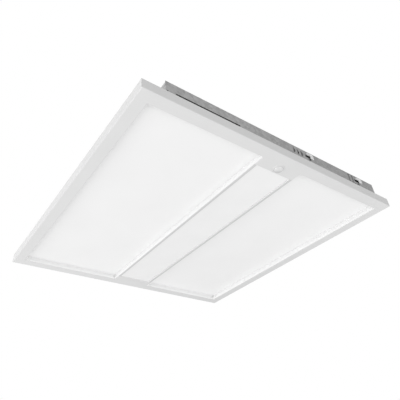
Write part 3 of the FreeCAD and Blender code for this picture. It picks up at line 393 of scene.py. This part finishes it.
# Painted bounce light on the cover's walls, a touch lighter than the cover.
COVER_PAINTED_BOUNCE_WALLS = (290, 290, 3, 40)
SIDE_FADE, LOW_FADE, HIGH_FADE = 0.5, 0.7, 0.4      # soft edges of a zone, in millimetres


def part_way(tree, value, start_mm, end_mm):
    """0 to 1 as a length goes from start to end."""
    node = tree.nodes.new("ShaderNodeMapRange")
    node.inputs["From Min"].default_value = start_mm * MM
    node.inputs["From Max"].default_value = end_mm * MM
    tree.links.new(value, node.inputs["Value"])
    return node.outputs["Result"]


def in_zone(tree, place, zone):
    """1 inside a box about the middle of the light and 0 outside it, with a soft edge."""
    half_x, half_y, low, high = zone
    size = tree.nodes.new("ShaderNodeVectorMath")
    size.operation = "ABSOLUTE"
    tree.links.new(place, size.inputs[0])
    wide = tree.nodes.new("ShaderNodeSeparateXYZ")
    tree.links.new(size.outputs[0], wide.inputs[0])
    tall = tree.nodes.new("ShaderNodeSeparateXYZ")
    tree.links.new(place, tall.inputs[0])
    inside = part_way(tree, wide.outputs["X"], half_x + SIDE_FADE, half_x)
    for value, start, end in ((wide.outputs["Y"], half_y + SIDE_FADE, half_y),
                              (tall.outputs["Z"], low, low + LOW_FADE),
                              (tall.outputs["Z"], high + HIGH_FADE, high)):
        both = tree.nodes.new("ShaderNodeMath")
        both.operation = "MULTIPLY"
        tree.links.new(inside, both.inputs[0])
        tree.links.new(part_way(tree, value, start, end), both.inputs[1])
        inside = both.outputs[0]
    return inside


print("zones:", {"lips": PAINTED_BOUNCE_WALLS, "strips": PAINTED_SHADE_BESIDE_COVER, "cover's lips": COVER_PAINTED_BOUNCE_WALLS})

# %% [markdown]
# ## White powder coat
# The face frame, the bezels and the centre cover are steel with a baked white powder. Seen close,
# the coat is not flat: it has an orange peel with lumps a millimetre or two across and a faint
# cloudiness where the powder lies thicker. Both come from noise, one in the relief and one in the
# colour. An image of paint would need a UV map and would repeat. The cover comes from another
# batch and is a little lighter.

# %% Powder coat
CLOUD_SIZE, GLOSS_SIZE, PEEL_SIZE = 60, 9, 1.6      # lumps of the noises, in millimetres
PEEL_HEIGHT = 0.012
COAT_EDGE = 0.5                     # radius of the coat's rounded edges
CLOUD_DARK, CLOUD_LIGHT = 0.985, 1.01               # shares of the white, in the clouds
COAT_ROUGHNESS = 0.42
COAT_ROUGHNESS_SPREAD = 0.04


def cloudy(tree, clouds, white):
    """A white, a touch darker or lighter with the clouds."""
    return tint(tree, clouds, grey(white * CLOUD_DARK), grey(white * CLOUD_LIGHT))


def powder_coat(name, white, zones, rough=COAT_ROUGHNESS):
    """The coat in a white, with another white in each (zone, white) of zones."""
    material, tree, shader, place = start_finish(name, COAT_EDGE)
    clouds = spread(tree, noise(tree, place, CLOUD_SIZE, 3), 0, 1)
    colour = cloudy(tree, clouds, white)
    for zone, zone_white in zones:
        both = tree.nodes.new("ShaderNodeMix")
        both.data_type = "RGBA"
        tree.links.new(in_zone(tree, place, zone), both.inputs["Factor"])
        tree.links.new(colour, both.inputs["A"])
        tree.links.new(cloudy(tree, clouds, zone_white), both.inputs["B"])
        colour = both.outputs["Result"]
    tree.links.new(colour, shader.inputs["Base Color"])
    tree.links.new(spread(tree, noise(tree, place, GLOSS_SIZE), rough - COAT_ROUGHNESS_SPREAD,
                          rough + COAT_ROUGHNESS_SPREAD), shader.inputs["Roughness"])
    relief(tree, shader, noise(tree, place, PEEL_SIZE, 1), PEEL_HEIGHT)
    return material


FINISHES = {
    # The frame's opening walls get painted bounce light and its strips beside the cover painted
    # shade; the cover's walls get a touch of painted bounce light.
    "white_steel": powder_coat("white powder coat", 0.75, [(PAINTED_BOUNCE_WALLS, 0.93), (PAINTED_SHADE_BESIDE_COVER, 0.65)]),
    "cover_white": powder_coat("lighter powder coat", 0.898, [(COVER_PAINTED_BOUNCE_WALLS, 0.9)], 0.46),
}
print("finishes so far:", sorted(FINISHES))

# %% [markdown]
# ## Opal lenses
# The lens is a sheet of opal acrylic, a little translucent and satin on its room side. True
# scattering under the surface would show it best but costs noise for a sheet that is only seen
# against a white box, so a pale satin plastic with a very fine grain stands for it.

# %% Opal acrylic
OPAL_DARK, OPAL_LIGHT = grey(0.9), grey(0.915)
OPAL_ROUGHNESS = (0.46, 0.56)
OPAL_CLOUDS, OPAL_SATIN, OPAL_GRAIN = 90, 5, 0.8    # lumps of the noises, in millimetres
OPAL_RELIEF = 0.004
ACRYLIC_IOR = 1.49


def opal(name):
    """Opal acrylic with a satin face."""
    material, tree, shader, place = start_finish(name)
    clouds = spread(tree, noise(tree, place, OPAL_CLOUDS, 2), 0, 1)
    tree.links.new(tint(tree, clouds, OPAL_DARK, OPAL_LIGHT), shader.inputs["Base Color"])
    tree.links.new(spread(tree, noise(tree, place, OPAL_SATIN), *OPAL_ROUGHNESS),
                   shader.inputs["Roughness"])
    shader.inputs["IOR"].default_value = ACRYLIC_IOR
    relief(tree, shader, noise(tree, place, OPAL_GRAIN, 1), OPAL_RELIEF)
    return material


FINISHES["opal_lens"] = opal("opal acrylic")
print("finishes so far:", sorted(FINISHES))

# %% [markdown]
# ## Galvanised sheet
# The back pan and the end plates are zinc-dipped steel. Zinc freezes in flakes, the spangle, each
# with its own grey and gloss. Voronoi cells give flakes with straight sides; a random grey per
# cell goes to colour and roughness. A little noise in the place bends the straight sides, and a
# fine relief breaks the gloss.

# %% Galvanised sheet
FLAKE_SCALE = 190                   # flakes of about 5 mm
BEND_SCALE = 220
BEND_SIZE = 0.002                   # metres
SHEET_EDGE = 0.3                    # radius of its rounded edges, in millimetres
ZINC_DARK, ZINC_LIGHT = grey(0.46), grey(0.575)
ZINC_ROUGHNESS = (0.34, 0.52)
ZINC_METAL = 0.85
ZINC_GRAIN = 3                      # millimetres
ZINC_RELIEF = 0.02


def galvanised(name):
    """Zinc with flakes, each with its own grey and roughness."""
    material, tree, shader, place = start_finish(name, SHEET_EDGE)
    warp = tree.nodes.new("ShaderNodeVectorMath")
    warp.operation = "MULTIPLY_ADD"
    warp.inputs[1].default_value = (BEND_SIZE, BEND_SIZE, BEND_SIZE)
    bend = tree.nodes.new("ShaderNodeTexNoise")
    bend.inputs["Scale"].default_value = BEND_SCALE
    tree.links.new(place, bend.inputs["Vector"])
    tree.links.new(bend.outputs["Color"], warp.inputs[0])
    tree.links.new(place, warp.inputs[2])
    flakes = tree.nodes.new("ShaderNodeTexVoronoi")
    flakes.inputs["Scale"].default_value = FLAKE_SCALE
    tree.links.new(warp.outputs[0], flakes.inputs["Vector"])
    shade = tree.nodes.new("ShaderNodeSeparateColor")
    tree.links.new(flakes.outputs["Color"], shade.inputs[0])
    tree.links.new(tint(tree, shade.outputs[0], ZINC_DARK, ZINC_LIGHT),
                   shader.inputs["Base Color"])
    rough = tree.nodes.new("ShaderNodeMapRange")
    rough.inputs["To Min"].default_value, rough.inputs["To Max"].default_value = ZINC_ROUGHNESS
    tree.links.new(shade.outputs[1], rough.inputs["Value"])
    tree.links.new(rough.outputs["Result"], shader.inputs["Roughness"])
    shader.inputs["Metallic"].default_value = ZINC_METAL
    relief(tree, shader, noise(tree, place, ZINC_GRAIN, 3), ZINC_RELIEF)
    return material


FINISHES["galvanised"] = galvanised("galvanised sheet")
print("finishes so far:", sorted(FINISHES))

# %% [markdown]
# ## Other finishes
# The rest are small parts: zinc-plated clips and screws, spring steel, moulded plastics, foam,
# enamel and the circuit board. One maker covers the metals and one the plastics, each with its
# own fine grain, so that no piece is a single flat colour.

# %% Makers of small finishes
METAL_SPREAD, PLASTIC_SPREAD = 0.06, 0.05           # of the roughness, each way
METAL_RELIEF = 0.006                                # millimetres
PLASTIC_MOTTLE = 12                                 # lumps, in millimetres


def plated(name, light, dark, rough, grain_mm=1.2, metal=1.0):
    """A metal between two colours, mottled, with a fine grain."""
    material, tree, shader, place = start_finish(name)
    mottle = spread(tree, noise(tree, place, grain_mm * 4, 3), 0, 1)
    tree.links.new(tint(tree, mottle, dark, light), shader.inputs["Base Color"])
    tree.links.new(spread(tree, noise(tree, place, grain_mm), rough - METAL_SPREAD,
                          rough + METAL_SPREAD), shader.inputs["Roughness"])
    shader.inputs["Metallic"].default_value = metal
    relief(tree, shader, noise(tree, place, grain_mm / 2, 2), METAL_RELIEF)
    return material


def moulded(name, light, dark, rough, grain_mm=0.6, relief_mm=0.01):
    """A plastic, paint or foam between two colours, with a fine grain."""
    material, tree, shader, place = start_finish(name)
    mottle = spread(tree, noise(tree, place, PLASTIC_MOTTLE, 2), 0, 1)
    tree.links.new(tint(tree, mottle, dark, light), shader.inputs["Base Color"])
    tree.links.new(spread(tree, noise(tree, place, grain_mm * 5), rough - PLASTIC_SPREAD,
                          rough + PLASTIC_SPREAD), shader.inputs["Roughness"])
    relief(tree, shader, noise(tree, place, grain_mm, 2), relief_mm)
    return material


print("makers ready: plated for metals, moulded for plastics")

# %% [markdown]
# ## The list of small finishes
# Each line gives a light and a dark colour that lie close together, a roughness and, where it
# matters, the size of the grain in millimetres. The sensor's dome also gets a clear coat, because
# it is the one glossy piece of the face. Coat values are the same all over, so they are set on
# the shader's own sockets.

# %% Small metals and plastics
DOME_COAT_IOR = 1.7
DOME_COAT_ROUGHNESS = 0.12

FINISHES.update({
    "clip_steel": plated("bright zinc strap", grey(0.97), grey(0.95), 0.36, metal=0.1),
    "zinc_screw": plated("zinc plate", (0.74, 0.75, 0.76), (0.6, 0.61, 0.63), 0.3, 0.8),
    "spring_steel": plated("spring steel", (0.5, 0.51, 0.54), (0.38, 0.39, 0.42), 0.28, 0.8),
    "reflector_white": moulded("matt white reflector", grey(0.92), grey(0.89), 0.7, 1.0),
    "led_board": moulded("white circuit board", (0.88, 0.89, 0.87), (0.84, 0.85, 0.83), 0.4),
    "led_yellow": moulded("phosphor", (0.92, 0.79, 0.3), (0.86, 0.7, 0.22), 0.22, 0.3),
    "driver_paint": moulded("white enamel", (0.84, 0.84, 0.83), (0.8, 0.8, 0.79), 0.3, 1.4),
    "terminal_grey": moulded("grey nylon", (0.56, 0.57, 0.58), (0.5, 0.51, 0.52), 0.5),
    "circuit_green": moulded("green circuit board", (0.05, 0.26, 0.1), (0.03, 0.2, 0.07), 0.35),
    "foam": moulded("closed-cell foam", (0.8, 0.8, 0.77), (0.7, 0.7, 0.67), 0.9, 1.0, 0.2),
    "sensor_white": moulded("sensor moulding", grey(0.73), grey(0.71), 0.38, 0.8, 0.004),
    "sensor_dome": moulded("sensor dome", grey(0.74), grey(0.72), 0.15, 0.8, 0.002),
    "nylon_black": moulded("black nylon", grey(0.035), grey(0.022), 0.45),
    "earth_green": plated("green dyed zinc", (0.1, 0.42, 0.16), (0.06, 0.3, 0.1), 0.35),
})
dome_shader = FINISHES["sensor_dome"].node_tree.nodes["Principled BSDF"]
dome_shader.inputs["Coat Weight"].default_value = 1.0
dome_shader.inputs["Coat IOR"].default_value = DOME_COAT_IOR
dome_shader.inputs["Coat Roughness"].default_value = DOME_COAT_ROUGHNESS
print("finishes:", len(FINISHES))

# %% [markdown]
# ## Dress every piece
# Each piece of the construction names the finish it is made of. A loop over that list puts the
# right material in its slot. The floor gets a pale finish with a weak glow of its own, so that it
# stays pale where the soft boxes don't reach.

# %% Put the finishes on
FLOOR_GLOW = 0.3


def dress():
    """Puts the finish that the record names on each piece."""
    for part in frame["record"]["subparts"]:
        node = nodes[part["node"]]
        node.data.materials.clear()
        node.data.materials.append(FINISHES[part["material_slot"]])


dress()
floor_finish = moulded("pale floor", grey(0.9), grey(0.88), 0.6, 30, 0.05)
floor_shader = floor_finish.node_tree.nodes["Principled BSDF"]
floor_shader.inputs["Emission Color"].default_value = WHITE
floor_shader.inputs["Emission Strength"].default_value = FLOOR_GLOW
floor.data.materials.append(floor_finish)

# %% [markdown]
# ## Turned pieces
# Screw heads, rivets, the sensor and the bushing are round. In the construction they have few
# sides; here each is turned anew from its profile, smooth and with its small edges rounded. A
# modifier (Screw) could turn a profile too, but plain mesh code keeps every ring in view.

# %% Helper for turned pieces
SEGMENTS = 48                       # sides of a round piece


def add_turned(mesh, place, profile, up=1):
    """Turns (radius, height) pairs, in millimetres, about an upright line through a place."""
    rings = []
    for radius, height in profile:
        level = place + Vector((0, 0, up * height * MM))
        turns = [2 * math.pi * step / SEGMENTS for step in range(SEGMENTS if radius else 1)]
        outwards = [Vector((math.cos(turn), math.sin(turn), 0)) for turn in turns]
        rings.append([mesh.verts.new(level + radius * MM * way) for way in outwards])
    for low, high in zip(rings, rings[1:]):
        for step in range(SEGMENTS):
            loop = [low[step % len(low)], low[(step + 1) % len(low)],
                    high[(step + 1) % len(high)], high[step % len(high)]]
            mesh.faces.new(list(dict.fromkeys(loop)))


print("sides of a turned piece:", SEGMENTS)

# %% [markdown]
# ## In place of the construction's pieces
# A turned mesh becomes an object that stands for a plain piece of the construction and moves with
# the same body. Smooth shading rounds the many sides, and edges that bend strongly are marked
# sharp, so that rims stay crisp.

# %% Helper that makes a piece
SHARP_EDGE = math.radians(35)       # edges that bend more than this stay sharp
SAME_POINT = 1e-6                   # metres


def make_piece(name, mesh, body, finish, stands_for):
    """Makes an object of the mesh, smooth but for its sharp edges, in place of a CAD node."""
    bmesh.ops.remove_doubles(mesh, verts=mesh.verts, dist=SAME_POINT)
    bmesh.ops.recalc_face_normals(mesh, faces=mesh.faces)
    data = bpy.data.meshes.new(name)
    mesh.to_mesh(data)
    mesh.free()
    data.shade_smooth()
    data.set_sharp_from_angle(angle=SHARP_EDGE)
    data.materials.append(FINISHES[finish])
    piece = bpy.data.objects.new(name, data)
    bpy.context.scene.collection.objects.link(piece)
    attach(piece, body)
    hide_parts(stands_for)
    return piece


print("edges stay sharp over", round(math.degrees(SHARP_EDGE)), "degrees")

# %% [markdown]
# ## Finding the small solids
# Alike small pieces share one node of the construction: all the rivets are one mesh, and so are
# the screws. To put a finer one in each place, the script has to know where each solid is. A
# loose part of a mesh is a set of points that edges join, so it starts at any point and walks
# along the edges until no new point turns up. Separate by Loose Parts would do the same, but it
# changes the mesh.

# %% Boxes of the separate solids
def solid_boxes(node):
    """The box of each separate solid of a CAD node, found by walking along its shared points."""
    mesh = bmesh.new()
    mesh.from_mesh(nodes[node].data)
    mesh.transform(nodes[node].matrix_world)
    bmesh.ops.remove_doubles(mesh, verts=mesh.verts, dist=SAME_POINT)
    left = set(mesh.verts)
    boxes = []
    while left:
        reached = [left.pop()]
        for point in reached:
            near = {edge.other_vert(point) for edge in point.link_edges} & left
            left -= near
            reached += near
        low = Vector([min(point.co[axis] for point in reached) for axis in range(3)])
        high = Vector([max(point.co[axis] for point in reached) for axis in range(3)])
        boxes.append((low, high))
    mesh.free()
    return sorted(boxes, key=lambda box: tuple(box[0]))


print("rivets found:", len(solid_boxes("plate_rivets")))

# %% [markdown]
# ## Screw heads
# Each screw has a pan head with a cross recess and a threaded shank. A bump map would do for a
# screw far away, but not for an open lid seen close. The head is turned from its profile. The
# tool of the recess is a tapered cross, a little smaller at its foot: one outline at two heights.

# %% Head of a screw and tool of its recess
HEAD_HEIGHT = 1.8
HEAD_PROFILE = [(0, HEAD_HEIGHT), (1.4, 1.76), (2.4, 1.6), (3.1, 1.25), (3.5, 0.75), (3.6, 0.3),
                (3.6, 0.1), (3.5, 0), (0, 0)]
CROSS_WIDE, CROSS_REACH = 0.42, 1.95
CROSS_ENDS = ((1.0, 2.2), (0.55, 0.6))      # size and height of the tool's top and foot


def add_cross(mesh, place, up):
    """A tapered cross that stands in a screw head, as the tool that cuts its recess."""
    wide, reach = CROSS_WIDE, CROSS_REACH
    outline = [(wide, reach), (wide, wide), (reach, wide), (reach, -wide), (wide, -wide),
               (wide, -reach), (-wide, -reach), (-wide, -wide), (-reach, -wide), (-reach, wide),
               (-wide, wide), (-wide, reach)]
    top, foot = [[mesh.verts.new(place + Vector((x * size, y * size, up * height)) * MM)
                  for x, y in outline] for size, height in CROSS_ENDS]
    mesh.faces.new(top)
    mesh.faces.new(foot)
    for step in range(len(outline)):
        mesh.faces.new([top[step - 1], top[step], foot[step], foot[step - 1]])


print("head of a screw:", HEAD_HEIGHT, "mm high, recess", 2 * CROSS_REACH, "mm across")

# %% [markdown]
# ## Cutting the recess
# A Boolean takes the crosses out of the heads. Modelling the recess point by point would need a
# new outline of the whole head. The Boolean is a modifier, so both meshes are put on objects that
# live only as long as the cut takes.

# %% Carving
def carved(mesh, tool):
    """The mesh with the tool's shape taken out of it, by a Boolean on two passing objects."""
    passing = []
    for part in (mesh, tool):
        bmesh.ops.remove_doubles(part, verts=part.verts, dist=SAME_POINT)
        bmesh.ops.recalc_face_normals(part, faces=part.faces)
        data = bpy.data.meshes.new("passing")
        part.to_mesh(data)
        part.free()
        passing.append(bpy.data.objects.new("passing", data))
        bpy.context.scene.collection.objects.link(passing[-1])
    cut = passing[0].modifiers.new("recess", "BOOLEAN")
    cut.operation = "DIFFERENCE"
    cut.object = passing[1]
    result = bmesh.new()
    result.from_object(passing[0], bpy.context.evaluated_depsgraph_get())
    for piece in passing:
        data = piece.data
        bpy.data.objects.remove(piece)
        bpy.data.meshes.remove(data)
    return result


print("recess reaches", round(HEAD_HEIGHT - CROSS_ENDS[1][1], 2), "mm below the top of a head")

# %% [markdown]
# ## Threads
# A thread could be a Screw modifier on a small triangle, but then its ends stay open. Here the
# shank is a grid of rings whose radius rises and falls along a helix. The last ring has no ridge,
# so that the tip is round. The shank starts a little inside the head, so that no gap shows
# between them.

# %% Threads
SHANK_CORE = 1.35
THREAD_DEPTH = 0.4
THREAD_PITCH = 0.9
THREAD_SIDES = 20
THREAD_ROWS = 6                     # rings in one turn of the thread
LEAST_ROWS = 8                      # for a very short shank
THREAD_START = 0.3                  # inside the head


def add_thread(mesh, place, up, length):
    """A shank with a helical ridge, from just inside the head to its end."""
    rows = max(LEAST_ROWS, round(length / THREAD_PITCH * THREAD_ROWS))
    rings = []
    for row in range(rows + 1):
        depth = (length + THREAD_START) * row / rows
        ring = []
        for step in range(THREAD_SIDES):
            turn = 2 * math.pi * step / THREAD_SIDES
            ridge = 1 - abs(2 * ((depth / THREAD_PITCH + step / THREAD_SIDES) % 1) - 1)
            radius = SHANK_CORE + THREAD_DEPTH * ridge * min(1, rows - row)
            height = up * (THREAD_START - depth)
            spot = Vector((radius * math.cos(turn), radius * math.sin(turn), height))
            ring.append(mesh.verts.new(place + spot * MM))
        rings.append(ring)
    mesh.faces.new(rings[0])
    mesh.faces.new(rings[-1])
    for low, high in zip(rings, rings[1:]):
        for step in range(THREAD_SIDES):
            mesh.faces.new([low[step - 1], low[step], high[step], high[step - 1]])


print("thread:", THREAD_PITCH, "mm pitch,", THREAD_DEPTH, "mm deep")

# %% [markdown]
# ## The screws put in
# The box of each screw of the construction says where its seat is and how long its shank is. The
# driver hangs under the roof, so its screws have their heads below; the others have them above.

# %% Screws
def add_screws(node, body, finish, up):
    """Screws in place of a node's, with their heads above the seat (up = 1) or below it (-1)."""
    spots = []
    for low, high in solid_boxes(node):
        middle = (low + high) / 2
        seat = high.z - HEAD_HEIGHT * MM if up > 0 else low.z + HEAD_HEIGHT * MM
        shank = (seat - low.z if up > 0 else high.z - seat) / MM
        spots.append((Vector((middle.x, middle.y, seat)), shank))
    heads, crosses = bmesh.new(), bmesh.new()
    for place, shank in spots:
        add_turned(heads, place, HEAD_PROFILE, up)
        add_cross(crosses, place, up)
    screws = carved(heads, crosses)
    for place, shank in spots:
        add_thread(screws, place, up, shank)
    return make_piece(node + "_turned", screws, body, finish, node)


screws = [
    add_screws("frame_screws", "root", "zinc_screw", 1),
    add_screws("driver_screws", "root", "zinc_screw", -1),
    add_screws("earth_screw", "root", "earth_green", 1),
    add_screws("lid_screw", "lid", "zinc_screw", 1),
]
print("screws:", {piece.name: len(piece.data.polygons) for piece in screws})

# %% [markdown]
# ## Rivets
# The end plates hang from the roof by blind rivets. The head of a blind rivet is a shallow dome
# with a hole in the middle, where the broken stem sits a little below the rim. All of it is one
# profile, so it is turned and needs no Boolean.

# %% Rivets
RIVET_HEAD_HEIGHT = 1.4
RIVET_PROFILE = [(0, 0.95), (0.55, 0.92), (0.65, 0.8), (0.68, 0.5), (0.9, 0.5), (0.95, 1.28),
                 (1.15, RIVET_HEAD_HEIGHT), (1.8, 1.3), (2.45, 1.02), (2.95, 0.6), (3.18, 0.2),
                 (3.15, 0), (2, 0), (2, -1.4), (0, -1.4)]


def add_rivets():
    """Turned heads in place of the construction's rivets."""
    mesh = bmesh.new()
    for low, high in solid_boxes("plate_rivets"):
        middle = (low + high) / 2
        seat = Vector((middle.x, middle.y, high.z - RIVET_HEAD_HEIGHT * MM))
        add_turned(mesh, seat, RIVET_PROFILE)
    return make_piece("blind_rivets", mesh, "root", "zinc_screw", "plate_rivets")


rivets = add_rivets()
print("rivets:", len(rivets.data.polygons), "faces")

# %% [markdown]
# ## The sensor
# The sensor peeps out under the near end of the frame: a flat ring with a sloping rim, and in it
# a shallow dome. The dome is flatter than part of a ball and has a shoulder, so its profile is a
# squared ellipse, worked out from a formula and not set point by point.

# %% Sensor
DOME_RADIUS = 8.6
DOME_HEIGHT = 3.15
DOME_FOOT = -0.6
DOME_STEPS = 16
DOME_SHOULDER = 2.6                 # 2 gives an ellipse, more a flatter face and a shoulder
SENSOR_TOP = 2.8
RING_PROFILE = [(8.7, -0.95), (8.9, -1.2), (10.3, -1.2), (10.85, -1.02), (11.25, -0.65),
                (11.5, -0.15), (11.5, 0), (9.9, 0), (9.9, SENSOR_TOP), (8.7, SENSOR_TOP),
                (8.7, -0.95)]


def dome_profile():
    """Tip to foot along a squared ellipse, then up the skirt."""
    profile = []
    for step in range(DOME_STEPS + 1):
        turn = math.pi / 2 * step / DOME_STEPS
        reach = math.sin(turn) ** (2 / DOME_SHOULDER)
        drop = max(0, math.cos(turn)) ** (2 / DOME_SHOULDER)
        profile.append((DOME_RADIUS * reach, DOME_FOOT - DOME_HEIGHT * drop))
    return profile + [(DOME_RADIUS, SENSOR_TOP), (0, SENSOR_TOP)]


def add_sensor():
    """The ring and the dome, in the middle of the construction's own ring."""
    low, high = (Vector(corner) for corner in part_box("sensor_bezel"))
    place = Vector(((low.x + high.x) / 2, (low.y + high.y) / 2, 0))
    ring, dome = bmesh.new(), bmesh.new()
    add_turned(ring, place, RING_PROFILE)
    add_turned(dome, place, dome_profile())
    return (make_piece("sensor_ring", ring, "sensor", "sensor_white", "sensor_bezel"),
            make_piece("sensor_dome", dome, "sensor", "sensor_dome", "sensor_lens"))


sensor = add_sensor()
print("sensor:", [piece.name for piece in sensor])

# %% [markdown]
# ## Knock-out and bushing
# The lid over the wiring box has two round entries. One still holds its disc, with the dent of a
# punch in its middle; the other has a black nylon bushing that keeps the sheet's edge off the
# wires. Both are turned as well.

# %% Knock-out and bushing
SLUG_PROFILE = [(0, 0.34), (1.1, 0.36), (1.8, 0.66), (2.2, 0.8), (10.7, 0.8), (10.98, 0.62),
                (10.98, 0.12), (10.85, 0), (0, 0)]
BUSHING_PROFILE = [(8, -2.7), (8.25, -3), (10.7, -3), (11, -2.6), (11, 0.8), (13.4, 0.8),
                   (13.6, 1), (13.45, 1.6), (12.9, 2.15), (12.1, 2.4), (9, 2.4), (8.3, 2.2),
                   (8, 1.7), (8, -2.7)]
BUSHING_DEPTH = 3                   # of the bushing below the lid


def add_entry(node, profile, height, name, finish):
    """A turned piece in an entry of the lid; height is the lid's under side in the node's box."""
    low, high = (Vector(corner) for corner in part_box(node))
    place = Vector(((low.x + high.x) / 2, (low.y + high.y) / 2, low.z + height * MM))
    mesh = bmesh.new()
    add_turned(mesh, place, profile)
    return make_piece(name, mesh, "lid", finish, node)


slug = add_entry("knockout_slug", SLUG_PROFILE, 0, "knockout_disc", "galvanised")
bushing = add_entry("inlet_bushing", BUSHING_PROFILE, BUSHING_DEPTH, "snap_bushing",
                    "nylon_black")
print("entries:", slug.name, bushing.name)
